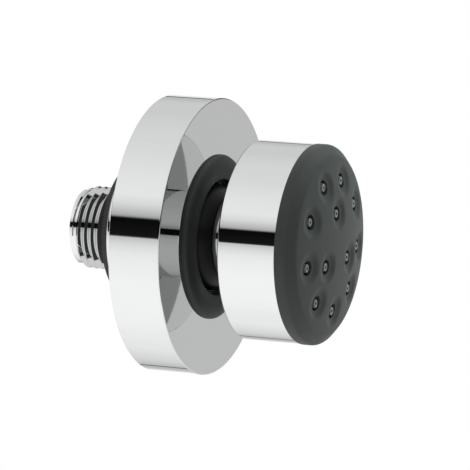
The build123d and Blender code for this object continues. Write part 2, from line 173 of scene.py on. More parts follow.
class Shell:
    """A mesh that is put together from turned outlines."""

    def __init__(self) -> None:
        """Starts empty."""
        self.mesh = bmesh.new()

    def turn(
        self,
        corners: Sequence[Corner],
        closed: bool = True,
        segments: int = SEGMENTS,
        middle: Vector = AXIS,
    ) -> None:
        """Turns an outline about the axis, or about a line beside it.

        Args:
            corners: the outline's corners in order.
            closed: whether the last corner joins the first.
            segments: the number of steps round the axis.
            middle: the line's place as (x, z).
        """
        places = [corner.place for corner in corners]
        points = [
            point
            for corner, before, after in zip(corners, places[-1:] + places[:-1], places[1:] + places[:1])
            for point in corner.rounded(before, after)
        ]
        rings = [self._ring(point, segments, middle) for point in points]
        for ring, following in zip(rings, rings[1:] + (rings[:1] if closed else [])):
            for step in range(segments):
                onwards = (step + 1) % segments
                quad = dict.fromkeys((ring[step], ring[onwards], following[onwards], following[step]))
                if len(quad) > 2:
                    self.mesh.faces.new(quad)

    def _ring(self, point: Vector, segments: int, middle: Vector) -> list[bmesh.types.BMVert]:
        """Makes the vertices that one point of an outline gives.

        Args:
            point: the point as a radius and a distance from the wall.
            segments: the number of steps round the axis.
            middle: the axis as (x, z).

        Returns:
            A vertex for each step, all the same one where the point is on the axis.
        """
        radius, distance = point
        if radius < ON_AXIS:
            return [self.mesh.verts.new((middle.x, -distance, middle.y))] * segments
        spots = circle(middle, radius, segments)
        return [self.mesh.verts.new((x, -distance, z)) for x, z in spots]

    def press(self, height: Callable[[Vector], float], above: float) -> None:
        """Moves the vertices in front of a distance to a surface.

        Args:
            height: the surface's distance from the wall at a place (x, z).
            above: the distance from the wall past which vertices move.
        """
        for vert in self.mesh.verts:
            if -vert.co.y > above:
                vert.co.y = -height(Vector((vert.co.x, vert.co.z)))

    def piece(self, name: str) -> bpy.types.Object:
        """Closes the mesh and makes it an object.

        Args:
            name: the piece's name.

        Returns:
            The piece, shaded smooth and with its faces outwards.
        """
        bmesh.ops.remove_doubles(self.mesh, verts=self.mesh.verts, dist=MERGE_DISTANCE)
        loose = [vert for vert in self.mesh.verts if not vert.link_faces]
        bmesh.ops.delete(self.mesh, geom=loose, context="VERTS")
        bmesh.ops.recalc_face_normals(self.mesh, faces=self.mesh.faces)
        data = bpy.data.meshes.new(name)
        self.mesh.to_mesh(data)
        self.mesh.free()
        smooth(data)
        return add_object(name, data)


def smooth(data: bpy.types.Mesh) -> None:
    """Shades a mesh smooth, apart from its sharp edges."""
    data.shade_smooth()
    data.set_sharp_from_angle(angle=SHARP_ANGLE)


class Value:
    """An output in a node tree. Its operators add Math nodes."""

    def __init__(self, board: "Board", socket: bpy.types.NodeSocket) -> None:
        """Keeps the tree and the output.

        Args:
            board: the tree that the output is in.
            socket: the output itself.
        """
        self.board = board
        self.socket = socket

    def math(self, operation: str, *others: "Value | float") -> "Value":
        """Adds a Math node whose first input is this value.

        Args:
            operation: the Math node's operation.
            others: its other inputs in order.

        Returns:
            The node's output.
        """
        return self.board.math(operation, self, *others)

    def __add__(self, other: "Value | float") -> "Value":
        """This plus another."""
        return self.math("ADD", other)

    __radd__ = __add__

    def __sub__(self, other: "Value | float") -> "Value":
        """This less another."""
        return self.math("SUBTRACT", other)

    def __rsub__(self, other: float) -> "Value":
        """Another less this."""
        return self.board.math("SUBTRACT", other, self)

    def __mul__(self, other: "Value | float") -> "Value":
        """This times another."""
        return self.math("MULTIPLY", other)

    __rmul__ = __mul__

    def __truediv__(self, other: "Value | float") -> "Value":
        """This divided by another."""
        return self.math("DIVIDE", other)

    def __pow__(self, other: "Value | float") -> "Value":
        """This raised to a power."""
        return self.math("POWER", other)

    def rise(self, low: float, high: float) -> "Value":
        """A smooth step from 0 at low to 1 at high."""
        return self.board.value(
            "ShaderNodeMapRange",
            {"interpolation_type": "SMOOTHSTEP"},
            {"Value": self, "From Min": low, "From Max": high},
        )


class Board:
    """A node tree that nodes are added to through one method."""

    def __init__(self, tree: bpy.types.NodeTree) -> None:
        """Takes a tree and empties it."""
        self.tree = tree
        tree.nodes.clear()

    def add(
        self,
        kind: str,
        settings: dict[str, Any] | None = None,
        inputs: dict[str | int, Any] | None = None,
    ) -> bpy.types.Node:
        """Adds a node, sets it and joins its inputs.

        Args:
            kind: the node's type.
            settings: its properties, set first; "stops" gives a ramp's places and colours.
            inputs: a value or an output for each input, by name or number.

        Returns:
            The node.
        """
        node = self.tree.nodes.new(kind)
        for name, setting in (settings or {}).items():
            if name == "stops":
                self._set_stops(node.color_ramp.elements, setting)
            else:
                setattr(node, name, setting)
        for name, given in (inputs or {}).items():
            if isinstance(given, Value):
                self.tree.links.new(given.socket, node.inputs[name])
            else:
                node.inputs[name].default_value = given
        return node

    def value(
        self,
        kind: str,
        settings: dict[str, Any] | None = None,
        inputs: dict[str | int, Any] | None = None,
        output: str | int = 0,
    ) -> Value:
        """Adds a node and gives one of its outputs."""
        return Value(self, self.add(kind, settings, inputs).outputs[output])

    def math(self, operation: str, *terms: Value | float) -> Value:
        """Adds a Math node with these inputs."""
        return self.value("ShaderNodeMath", {"operation": operation}, dict(enumerate(terms)))

    @staticmethod
    def _set_stops(elements: Any, stops: Sequence[tuple[float, Colour]]) -> None:
        """Gives a ramp exactly these stops.

        Args:
            elements: the ramp's own stops.
            stops: the place and colour of each stop.
        """
        while len(elements) > 1:
            elements.remove(elements[-1])
        elements[0].position, elements[0].color = stops[0]
        for place, colour in stops[1:]:
            elements.new(place).color = colour


class Growth(Board):
    """A Geometry Nodes tree with named sizes, which adds what repeats to a piece."""

    def __init__(self, name: str, sizes: dict[str, int | float]) -> None:
        """Makes the tree with one input for each size.

        Args:
            name: the tree's name.
            sizes: the sizes by the names of their inputs.
        """
        super().__init__(bpy.data.node_groups.new(name, "GeometryNodeTree"))
        self.sizes = sizes
        kinds = {int: "NodeSocketInt", float: "NodeSocketFloat"}
        sockets = self.tree.interface
        sockets.new_socket("Piece", in_out="INPUT", socket_type="NodeSocketGeometry")
        sockets.new_socket("Grown", in_out="OUTPUT", socket_type="NodeSocketGeometry")
        self.identifiers = {
            label: sockets.new_socket(label, in_out="INPUT", socket_type=kinds[type(size)]).identifier
            for label, size in sizes.items()
        }
        self.given = self.add("NodeGroupInput")

    def size(self, label: str) -> Value:
        """One of the tree's named sizes."""
        return Value(self, self.given.outputs[label])

    def vector(self, x: Value | float, y: Value | float, z: Value | float) -> Value:
        """Three numbers as one vector."""
        return self.value("ShaderNodeCombineXYZ", inputs={"X": x, "Y": y, "Z": z})

    def placed(self, shape: Value, **changes: Value | Point) -> Value:
        """A shape moved, turned or scaled by the inputs of a Transform Geometry node."""
        return self.value("GeometryNodeTransform", inputs={"Geometry": shape, **changes})

    def joined(self, *shapes: Value) -> Value:
        """Joins several shapes.

        Args:
            shapes: the shapes.

        Returns:
            All of them as one shape.
        """
        node = self.add("GeometryNodeJoinGeometry")
        for shape in shapes:
            self.tree.links.new(shape.socket, node.inputs[0])
        return Value(self, node.outputs[0])

    def grow(self, piece: bpy.types.Object, feature: Value, material: bpy.types.Material) -> None:
        """Joins the feature to the piece and makes the result the piece's plain mesh.

        Args:
            piece: the object that carries the feature.
            feature: the feature's shape in this tree.
            material: what both are made of.
        """
        whole = self.joined(Value(self, self.given.outputs["Piece"]), feature)
        real = self.value("GeometryNodeRealizeInstances", inputs={"Geometry": whole})
        dressed = self.value("GeometryNodeSetMaterial", inputs={"Geometry": real, "Material": material})
        self.add("NodeGroupOutput", inputs={"Grown": dressed})
        modifier = piece.modifiers.new(self.tree.name, "NODES")
        modifier.node_group = self.tree
        for label, identifier in self.identifiers.items():
            modifier[identifier] = self.sizes[label]
        settle(piece)
        smooth(piece.data)


def settle(piece: bpy.types.Object) -> None:
    """Makes a piece's mesh plain, as its modifiers leave it, and removes them.

    Args:
        piece: the piece.
    """
    graph = bpy.context.evaluated_depsgraph_get()
    plain = bpy.data.meshes.new_from_object(piece.evaluated_get(graph))
    piece.modifiers.clear()
    piece.data = plain


def even_shading(piece: bpy.types.Object) -> None:
    """Keeps broad faces flat and round ones smooth, by normals weighted by area.

    Args:
        piece: the piece.
    """
    modifier = piece.modifiers.new("even_shading", "WEIGHTED_NORMAL")
    modifier.keep_sharp = True
    settle(piece)


class MaterialBoard(Board):
    """The node tree of one material."""

    def __init__(self, name: str) -> None:
        """Makes an empty material.

        Args:
            name: the material's name.
        """
        self.material = bpy.data.materials.new(name)
        self.material.use_nodes = True
        super().__init__(self.material.node_tree)
        self.place = self.value("ShaderNodeTexCoord", output="Object")

    def noise(self, size: float, detail: float = 2.0) -> Value:
        """Cloudy noise whose spots are about size metres across."""
        inputs = {"Vector": self.place, "Scale": 1 / size, "Detail": detail}
        return self.value("ShaderNodeTexNoise", inputs=inputs)

    def cells(self, size: float) -> Value:
        """The distance from the middle of cells about size metres across."""
        return self.value("ShaderNodeTexVoronoi", inputs={"Vector": self.place, "Scale": 1 / size})

    def axes(self) -> tuple[Value, Value, Value]:
        """The place as x, y and z."""
        node = self.add("ShaderNodeSeparateXYZ", inputs={"Vector": self.place})
        return tuple(Value(self, output) for output in node.outputs)

    def tint(self, colour: Colour, share: Value, other: Colour) -> Value:
        """One colour passing into another.

        Args:
            colour: the colour where the share is 0.
            share: the share of the other colour.
            other: the colour where the share is 1.

        Returns:
            The mixed colour.
        """
        return self.value(
            "ShaderNodeMix", {"data_type": "RGBA"}, {0: share, 6: colour, 7: other}, output=2,
        )

    def finish_with(self, shader: Value) -> bpy.types.Material:
        """Joins the shader to the output and gives the material."""
        self.add("ShaderNodeOutputMaterial", inputs={"Surface": shader})
        return self.material


@dataclass(frozen=True)
class Finish:
    """A surface finish: cloudy changes of colour and gloss, and a fine grain.

    Sizes are in metres.
    """

    name: str
    slot: str
    colour: Colour
    change: Colour
    roughness: float
    roughness_change: float = 0.08
    cloud_size: float = 6 * MM
    grain_size: float = 0.3 * MM
    grain_depth: float = 0.004 * MM
    metallic: float = 0.0
    specular: float = 0.5

    def surface(self, board: MaterialBoard) -> dict[str, Any]:
        """The inputs of the shader that every finish has.

        Args:
            board: the material's tree.

        Returns:
            Values and outputs by the name of the shader's input.
        """
        cloud = board.noise(self.cloud_size)
        return {
            "Base Color": board.tint(self.colour, cloud, self.change),
            "Roughness": self.roughness + self.roughness_change * (cloud - 0.5),
            "Metallic": self.metallic,
            "Specular IOR Level": self.specular,
            "Normal": self.relief(board),
        }

    def relief(self, board: MaterialBoard) -> Value:
        """The fine grain of the surface."""
        return self.bump(board, board.noise(self.grain_size, detail=3.0))

    def bump(self, board: MaterialBoard, height: Value) -> Value:
        """Turns a height from 0 to 1 into a normal, at the depth of this finish."""
        return board.value("ShaderNodeBump", inputs={"Distance": self.grain_depth, "Height": height})

    def make(self) -> bpy.types.Material:
        """Makes the material."""
        board = MaterialBoard(self.name)
        return board.finish_with(board.value("ShaderNodeBsdfPrincipled", inputs=self.surface(board)))


@dataclass(frozen=True)
class TurnedMetal(Finish):
    """Metal with the fine rings that a lathe leaves, about the jet's axis."""

    ring_pitch: float = 0.12 * MM

    def relief(self, board: MaterialBoard) -> Value:
        """Fine rings along the axis and out from it.

        Args:
            board: the material's tree.

        Returns:
            The normal.
        """
        x, y, z = board.axes()
        travel = (x * x + z * z) ** 0.5 + y
        return self.bump(board, 0.5 + 0.5 * (travel * (math.tau / self.ring_pitch)).math("SINE"))


@dataclass(frozen=True)
class OpenFoam(Finish):
    """Open-celled foam."""

    def relief(self, board: MaterialBoard) -> Value:
        """Small open cells."""
        return self.bump(board, board.cells(self.grain_size))


CHROME = Finish(
    "polished_chrome", "chrome", (0.566, 0.570, 0.571, 1), (0.580, 0.584, 0.585, 1),
    roughness=0.03, roughness_change=0.02, cloud_size=9 * MM,
    grain_size=2.5 * MM, grain_depth=0.0002 * MM, metallic=1.0,
)
FACE_PLASTIC = Finish(
    "matte_face_plastic", "dark_plastic", (0.037, 0.044, 0.042, 1), (0.045, 0.052, 0.050, 1),
    roughness=0.56, grain_size=0.22 * MM, grain_depth=0.006 * MM, specular=0.35,
)
# The collar is the face's dark plastic made darker: painted shade for the head's shadow on the collar.
COLLAR_PLASTIC_PAINTED_SHADE = Finish(
    "matte_collar_plastic", "dark_plastic", (0.015, 0.019, 0.018, 1), (0.020, 0.025, 0.023, 1),
    roughness=0.58, grain_size=0.22 * MM, grain_depth=0.007 * MM, specular=0.35,
)
# The ball is dark plastic, but its near-black tone and weak gloss are painted shade of the recess round the
# neck and of the neck's dark reflection.
BALL_PLASTIC_PAINTED_SHADE = Finish(
    "ball_plastic", "ball_plastic", (0.003, 0.003, 0.003, 1), (0.005, 0.005, 0.005, 1),
    roughness=0.38, grain_size=0.5 * MM, grain_depth=0.002 * MM, specular=0.12,
)
INNER_PLASTIC = Finish(
    "inner_plastic", "inner_plastic", (0.055, 0.058, 0.062, 1), (0.070, 0.073, 0.078, 1), roughness=0.42,
)
WHITE_PLASTIC = Finish(
    "white_plastic", "white_plastic", (0.66, 0.66, 0.63, 1), (0.72, 0.72, 0.69, 1), roughness=0.38,
)
SILICONE = Finish(
    "nozzle_silicone", "silicone", (0.17, 0.18, 0.18, 1), (0.22, 0.23, 0.23, 1),
    roughness=0.40, grain_size=0.4 * MM, grain_depth=0.003 * MM,
)
RUBBER = Finish(
    "black_rubber", "black_rubber", (0.014, 0.014, 0.015, 1), (0.022, 0.022, 0.023, 1), roughness=0.62,
    grain_size=0.18 * MM, grain_depth=0.006 * MM,
)
FOAM = OpenFoam(
    "sealing_foam", "foam", (0.045, 0.046, 0.048, 1), (0.075, 0.076, 0.080, 1), roughness=0.9,
    grain_size=0.45 * MM, grain_depth=0.12 * MM,
)
SPRING_STEEL = TurnedMetal(
    "spring_steel", "spring_steel", (0.50, 0.50, 0.49, 1), (0.58, 0.58, 0.57, 1),
    roughness=0.24, grain_depth=0.001 * MM, metallic=1.0,
)
BRASS = TurnedMetal(
    "turned_brass", "brass", (0.66, 0.48, 0.22, 1), (0.74, 0.56, 0.28, 1),
    roughness=0.26, grain_depth=0.002 * MM, metallic=1.0,
)


class Body(Enum):
    """The two bodies that carry the scene's own pieces."""

    WALL = "wall_side"
    HEAD = "head"


class Workshop:
    """Makes each finish once, puts it on pieces and hands the pieces over."""

    def __init__(self) -> None:
        """Starts with no material made."""
        self.made: dict[str, bpy.types.Material] = {}

    def material(self, finish: Finish) -> bpy.types.Material:
        """The material of a finish, made when it is first asked for.

        Args:
            finish: the finish.

        Returns:
            The material.
        """
        if finish.name not in self.made:
            self.made[finish.name] = finish.make()
        return self.made[finish.name]

    def dress(self, piece: bpy.types.Object, finish: Finish) -> None:
        """Gives a whole piece one finish.

        Args:
            piece: the piece.
            finish: its finish.
        """
        piece.data.materials.clear()
        piece.data.materials.append(self.material(finish))
        log.info("%s: %s", piece.name, finish.name)

    def dress_nodes(self, finishes: dict[str, Finish]) -> None:
        """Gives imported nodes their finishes, by name."""
        for node, finish in finishes.items():
            self.dress(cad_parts[node], finish)

    def hand_over(self, piece: bpy.types.Object, finish: Finish, body: Body, node: str) -> None:
        """Dresses a finished piece, puts it on its body and hides the node it stands for.

        Args:
            piece: the piece.
            finish: its finish.
            body: the body that it moves with.
            node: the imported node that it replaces.
        """
        even_shading(piece)
        self.dress(piece, finish)
        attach(piece, body.value)
        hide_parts(node)


@dataclass
class WallPlate:
    """The cover plate, a shallow cup with a sleeve round its hole, and its ring and foam strip."""

    wall: float = 1.4 * MM
    edge: float = 0.4 * MM
    rear_edge: float = 0.2 * MM
    hole_gap: float = 0.15 * MM
    sleeve_wall: float = 1.35 * MM
    sleeve_length: float = 4.8 * MM
    finishes: dict[str, Finish] = field(
        default_factory=lambda: {"escutcheon": CHROME, "escutcheon_ring": RUBBER, "wall_seal": FOAM}
    )

    def plate(self) -> bpy.types.Object:
        """Turns the plate, with finely rounded edges.

        Returns:
            The plate.
        """
        reach = Reach.of("escutcheon")
        hole = Reach.of("inlet_body").radius + self.hole_gap
        inner, inside = reach.radius - self.wall, reach.front - self.wall
        sleeve, sleeve_rear = hole + self.sleeve_wall, reach.front - self.wall - self.sleeve_length
        shell = Shell()
        shell.turn([
            Corner(inner, reach.rear, self.rear_edge),
            Corner(reach.radius, reach.rear, self.rear_edge),
            Corner(reach.radius, reach.front, self.edge),
            Corner(hole, reach.front, self.rear_edge),
            Corner(hole, sleeve_rear, self.rear_edge),
            Corner(sleeve, sleeve_rear, self.rear_edge),
            Corner(sleeve, inside, self.edge),
            Corner(inner, inside, self.edge),
        ])
        return shell.piece("cover_plate")

    def build(self, workshop: Workshop) -> None:
        """Makes the plate and dresses its nodes."""
        workshop.dress_nodes(self.finishes)
        workshop.hand_over(self.plate(), CHROME, Body.WALL, "escutcheon")


@dataclass
class InletBody:
    """The brass body with its threaded stub, its washer, its strainer and its flow limiter.

    At each end the thread's ridge grows from a share of its size, the fade, to all of it. A run-out of 6
    means that it does so over a sixth of the thread.
    """

    core_radius: float = 9.45 * MM
    thread_radius: float = 10.48 * MM
    thread_ridge: float = 0.88 * MM
    thread_pitch: float = 1.814 * MM
    thread_steps: int = 96
    thread_sides: int = 4
    thread_inset: float = 0.9 * MM
    thread_run_out: float = 6.0
    thread_fade: float = 0.15
    relief_length: float = 3.1 * MM
    stub_length: float = 14.0 * MM
    strainer_seat: float = 9.2 * MM
    strainer_seat_depth: float = 0.9 * MM
    bore: float = 8.2 * MM
    bore_length: float = 10.4 * MM
    waterway: float = 6.0 * MM
    chamber_floor: float = 3.1 * MM
    chamber_radius: float = 14.5 * MM
    collar_seat: float = 16.0 * MM
    collar_seat_length: float = 7.5 * MM
    edge: float = 0.6 * MM
    groove_depth: float = 1.19 * MM
    groove_gap: float = 0.1 * MM
    finishes: dict[str, Finish] = field(
        default_factory=lambda: {
            "inlet_body": CHROME,
            "inlet_washer": RUBBER,
            "inlet_strainer": WHITE_PLASTIC,
            "flow_limiter": WHITE_PLASTIC,
            "limiter_ring": RUBBER,
        }
    )

    def turning(self) -> bpy.types.Object:
        """Turns the body, with a plain core where the thread goes.

        Returns:
            The body without its thread.
        """
        reach, ring = Reach.of("inlet_body"), Reach.of("escutcheon_ring")
        shoulder = reach.rear + self.stub_length
        bore_front = reach.rear + self.bore_length
        chamber_rear = shoulder + self.chamber_floor
        seat_rear = reach.front - self.collar_seat_length
        floor = reach.radius - self.groove_depth
        shell = Shell()
        shell.turn([
            Corner(self.strainer_seat, reach.rear),
            Corner(self.strainer_seat, reach.rear + self.strainer_seat_depth),
            Corner(self.bore, reach.rear + self.strainer_seat_depth),
            Corner(self.bore, bore_front),
            Corner(self.waterway, bore_front),
            Corner(self.waterway, chamber_rear),
            Corner(self.chamber_radius, chamber_rear),
            Corner(self.chamber_radius, seat_rear),
            Corner(self.collar_seat, seat_rear),
            Corner(self.collar_seat, reach.front),
            Corner(reach.radius, reach.front, self.edge / 2),
            Corner(reach.radius, ring.front + self.groove_gap),
            Corner(floor, ring.front + self.groove_gap),
            Corner(floor, ring.rear - self.groove_gap),
            Corner(reach.radius, ring.rear - self.groove_gap),
            Corner(reach.radius, shoulder, self.edge),
            Corner(self.core_radius, shoulder),
            Corner(self.core_radius, reach.rear),
        ])
        return shell.piece("threaded_inlet_body")

    def add_thread(self, piece: bpy.types.Object, material: bpy.types.Material) -> None:
        """Runs the thread's ridge round the stub.

        Args:
            piece: the body.
            material: the body's material.
        """
        length = self.stub_length - self.relief_length - self.thread_inset
        growth = Growth("inlet_thread", {
            "Outer radius": self.thread_radius,
            "Ridge": self.thread_ridge,
            "Turns": length / self.thread_pitch,
            "Length": length,
            "Start": -Reach.of("inlet_body").rear - self.thread_inset - length,
            "Steps": self.thread_steps,
            "Run-out": self.thread_run_out,
            "Fade": self.thread_fade,
        })
        radius = growth.size("Outer radius") - growth.size("Ridge")
        spiral = growth.value("GeometryNodeCurveSpiral", inputs={
            "Resolution": growth.size("Steps"), "Rotations": growth.size("Turns"),
            "Start Radius": radius, "End Radius": radius, "Height": growth.size("Length"),
        })
        upright = growth.value("GeometryNodeSetCurveNormal", {"mode": "Z_UP"}, {"Curve": spiral})
        along = growth.value("GeometryNodeSplineParameter")
        rise = (along.math("MINIMUM", 1 - along) * growth.size("Run-out")).math("MINIMUM", 1.0)
        fade = growth.size("Fade")
        section = growth.value("GeometryNodeCurvePrimitiveCircle", inputs={
            "Resolution": self.thread_sides, "Radius": growth.size("Ridge"),
        })
        ridge = growth.value("GeometryNodeCurveToMesh", inputs={
            "Curve": upright, "Profile Curve": section, "Scale": fade + (1 - fade) * rise, "Fill Caps": True,
        })
        laid = growth.placed(
            ridge,
            Translation=growth.vector(0.0, growth.size("Start"), 0.0),
            Rotation=(-math.pi / 2, 0.0, 0.0),
        )
        growth.grow(piece, laid, material)

    def build(self, workshop: Workshop) -> None:
        """Makes the threaded body and dresses its nodes.

        Args:
            workshop: what dresses the pieces.
        """
        workshop.dress_nodes(self.finishes)
        piece = self.turning()
        self.add_thread(piece, workshop.material(CHROME))
        workshop.hand_over(piece, CHROME, Body.WALL, "inlet_body")


@dataclass
class BallJoint:
    """The collar, the ball, its seat, its springs and its rings."""

    skirt_inner: float = 14.9 * MM
    skirt_radius: float = 15.95 * MM
    lip_radius: float = 13.95 * MM
    lip_inset: float = 1.0 * MM
    lip_thickness: float = 0.8 * MM
    rim_radius: float = 14.55 * MM
    rim_round: float = 0.6 * MM
    crown_top_radius: float = 17.2 * MM
    crown_rise: float = 1.8 * MM
    crown_foot: float = 0.25 * MM
    crown_steps: int = 16
    finishes: dict[str, Finish] = field(
        default_factory=lambda: {
            "collar": COLLAR_PLASTIC_PAINTED_SHADE,
            "friction_ring": WHITE_PLASTIC,
            "disc_spring_rear": SPRING_STEEL,
            "disc_spring_front": SPRING_STEEL,
            "ball_seat": WHITE_PLASTIC,
            "seat_ring": RUBBER,
            "ball_seal": RUBBER,
            "swivel_ball": BALL_PLASTIC_PAINTED_SHADE,
        }
    )

    def collar(self) -> bpy.types.Object:
        """Turns the collar, with an elliptical crown.

        Returns:
            The collar.
        """
        reach = Reach.of("collar")
        plate = Reach.of("escutcheon").front
        lip_rear, lip_front = plate - self.lip_inset, plate - self.lip_inset + self.lip_thickness
        foot, wide = plate + self.crown_foot, reach.radius - self.crown_top_radius
        tall = self.crown_rise - self.crown_foot
        turns = [math.pi / 2 * step / self.crown_steps for step in range(self.crown_steps + 1)]
        crown = [
            Corner(self.crown_top_radius + wide * math.cos(turn), foot + tall * math.sin(turn))
            for turn in turns
        ]
        shell = Shell()
        shell.turn([
            Corner(self.skirt_inner, reach.rear),
            Corner(self.skirt_radius, reach.rear),
            Corner(self.skirt_radius, plate),
            Corner(reach.radius, plate),
            *crown,
            Corner(self.rim_radius, plate + tall, self.rim_round),
            Corner(self.rim_radius, lip_front),
            Corner(self.lip_radius, lip_front),
            Corner(self.lip_radius, lip_rear),
            Corner(self.skirt_inner, lip_rear),
        ])
        return shell.piece("ball_collar")

    def build(self, workshop: Workshop) -> None:
        """Makes the collar and dresses the joint's nodes."""
        workshop.dress_nodes(self.finishes)
        workshop.hand_over(self.collar(), COLLAR_PLASTIC_PAINTED_SHADE, Body.WALL, "collar")


@dataclass
class NozzleRing:
    """A ring of nozzles on the spray face. The start is in degrees, from +X towards +Z."""

    name: str
    count: int
    radius: float
    start: float

    def places(self) -> list[Vector]:
        """The nozzles' middles as (x, z)."""
        turns = [math.radians(self.start) + math.tau * step / self.count for step in range(self.count)]
        return [self.radius * Vector((math.cos(turn), math.sin(turn))) for turn in turns]


@dataclass
class SprayHead:
    """The neck, the chromed shell, what is inside it, the spray face and its nozzles."""

    rings: tuple[NozzleRing, ...] = (
        NozzleRing("Outer", count=9, radius=16.6 * MM, start=-90),
        NozzleRing("Inner", count=3, radius=8.2 * MM, start=90),
    )
    dome_radius: float = 92 * MM
    side_height: float = 2.6 * MM
    shoulder_width: float = 2.6 * MM
    shoulder_round: float = 2.6 * MM
    corner_round: float = 1.6 * MM
    skirt_wall: float = 1.7 * MM
    skirt_gap: float = 0.1 * MM
    dish_zone: float = 21.6 * MM
    dish_zone_rings: int = 54
    hole: float = 1.92 * MM
    hole_segments: int = 64
    drill_margin: float = 1.0 * MM
    dish_land: float = 2.15 * MM
    dish_radius: float = 4.4 * MM
    dish_depth: float = 0.72 * MM
    tip_sink: float = 0.05 * MM
    tip_radius: float = 1.02 * MM
    tip_round: float = 0.12 * MM
    root_radius: float = 1.6 * MM
    bore: float = 0.46 * MM
    mat_front: float = 41.0 * MM
    nozzle_length: float = 6.0 * MM
    nozzle_segments: int = 40
    finishes: dict[str, Finish] = field(
        default_factory=lambda: {
            "neck": CHROME,
            "neck_ring": RUBBER,
            "head_shell": CHROME,
            "neck_gasket": RUBBER,
            "water_chamber": INNER_PLASTIC,
            "head_ring": RUBBER,
            "head_nut": BRASS,
            "diffuser_disc": WHITE_PLASTIC,
            "nozzle_mat": SILICONE,
            "spray_face": FACE_PLASTIC,
        }
    )

    def nozzles(self) -> list[Vector]:
        """Every nozzle's middle as (x, z)."""
        return [place for ring in self.rings for place in ring.places()]

    def dome(self, radius: float) -> float:
        """The distance from the wall of the plain dome at a radius."""
        front = Reach.of("spray_face").front
        return front - self.dome_radius + math.sqrt(self.dome_radius**2 - radius**2)

    def surface(self, spot: Vector) -> float:
        """The distance from the wall of the dome with its dishes.

        Args:
            spot: a place on the face as (x, z).

        Returns:
            The distance there.
        """
        near = min((spot - place).length for place in self.nozzles())
        share = min(max((near - self.dish_land) / (self.dish_radius - self.dish_land), 0), 1)
        return self.dome(spot.length) - self.dish_depth * (1 + math.cos(math.pi * share)) / 2

    def drills(self) -> bpy.types.Object:
        """Makes bars where the nozzles' holes go, longer than the face is deep.

        Returns:
            All the bars as one object.
        """
        rear = self.mat_front - self.drill_margin
        front = Reach.of("spray_face").front + self.drill_margin
        bar = [Corner(0, rear), Corner(self.hole, rear), Corner(self.hole, front), Corner(0, front)]
        shell = Shell()
        for place in self.nozzles():
            shell.turn(bar, segments=self.hole_segments, middle=place)
        return shell.piece("drills")

    def face(self) -> bpy.types.Object:
        """Makes the domed face: turned, its dishes pressed in and its holes bored.

        Returns:
            The face.
        """
        reach, shell_reach = Reach.of("spray_face"), Reach.of("head_shell")
        skirt = Reach.of("water_chamber").radius + self.skirt_wall + self.skirt_gap
        shoulder = reach.radius - self.shoulder_width
        radii = [self.dish_zone * step / self.dish_zone_rings for step in range(self.dish_zone_rings + 1)]
        dished = Shell()
        dished.turn([Corner(radius, self.dome(radius)) for radius in radii], closed=False)
        dished.press(self.surface, self.mat_front)
        dished.turn([
            Corner(radii[-1], self.dome(radii[-1])),
            Corner(shoulder, self.dome(shoulder), self.shoulder_round),
            Corner(reach.radius, shell_reach.front + self.side_height, self.corner_round),
            Corner(reach.radius, shell_reach.front),
            Corner(skirt, shell_reach.front),
            Corner(skirt, reach.rear),
            Corner(skirt - self.skirt_wall, reach.rear),
            Corner(skirt - self.skirt_wall, self.mat_front),
            Corner(0, self.mat_front),
        ], closed=False)
        face, drills = dished.piece("dished_spray_face"), self.drills()
        bore = face.modifiers.new("bore", "BOOLEAN")
        bore.object = drills
        bore.solver = "EXACT"
        settle(face)
        smooth(face.data)
        bpy.data.objects.remove(drills)
        return face

    def one_nozzle(self) -> bpy.types.Object:
        """Turns one bored nozzle with its tip at the origin, to be copied.

        Returns:
            The nozzle.
        """
        shell = Shell()
        shell.turn([
            Corner(self.bore, -self.nozzle_length),
            Corner(self.root_radius, -self.nozzle_length),
            Corner(self.tip_radius, 0, self.tip_round),
            Corner(self.bore, 0, self.tip_round),
        ], segments=self.nozzle_segments)
        return shell.piece("one_nozzle")

    def mat(self) -> bpy.types.Object:
        """Turns the mat that carries the nozzles.

        Returns:
            The mat without its nozzles.
        """
        reach = Reach.of("nozzle_mat")
        shell = Shell()
        shell.turn([
            Corner(0, reach.rear), Corner(reach.radius, reach.rear),
            Corner(reach.radius, self.mat_front), Corner(0, self.mat_front),
        ])
        return shell.piece("nozzles_on_mat")

    def grow_nozzles(self, mat: bpy.types.Object, material: bpy.types.Material) -> None:
        """Sets both rings of nozzles on the mat.

        Args:
            mat: the mat.
            material: the mat's material.
        """
        rear = Reach.of("nozzle_mat").rear
        sizes: dict[str, int | float] = {"Root": rear, "Nozzle length": self.nozzle_length}
        for ring in self.rings:
            sizes |= {
                f"{ring.name} count": ring.count,
                f"{ring.name} radius": ring.radius,
                f"{ring.name} turn": -math.radians(ring.start),
                f"{ring.name} tip": self.surface(ring.places()[0]) - self.tip_sink,
            }
        growth = Growth("nozzles", sizes)
        pattern = self.one_nozzle()
        nozzle = growth.value("GeometryNodeObjectInfo", inputs={"Object": pattern}, output="Geometry")
        rows = []
        for ring in self.rings:
            tip = growth.size(f"{ring.name} tip")
            circle_of_points = growth.value("GeometryNodeMeshCircle", inputs={
                "Vertices": growth.size(f"{ring.name} count"), "Radius": growth.size(f"{ring.name} radius"),
            })
            laid = growth.placed(
                circle_of_points,
                Translation=growth.vector(0.0, -1 * tip, 0.0),
                Rotation=growth.vector(math.pi / 2, growth.size(f"{ring.name} turn"), 0.0),
            )
            stretch = (tip - growth.size("Root")) / growth.size("Nozzle length")
            rows.append(growth.value("GeometryNodeInstanceOnPoints", inputs={
                "Points": laid, "Instance": nozzle, "Scale": growth.vector(1.0, stretch, 1.0),
            }))
        growth.grow(mat, growth.joined(*rows), material)
        bpy.data.objects.remove(pattern)

    def build(self, workshop: Workshop) -> None:
        """Makes the face and the nozzles, and dresses the head's nodes.

        Args:
            workshop: what dresses the pieces.
        """
        workshop.dress_nodes(self.finishes)
        workshop.hand_over(self.face(), FACE_PLASTIC, Body.HEAD, "spray_face")
        mat = self.mat()
        self.grow_nozzles(mat, workshop.material(SILICONE))
        workshop.hand_over(mat, SILICONE, Body.HEAD, "nozzle_mat")


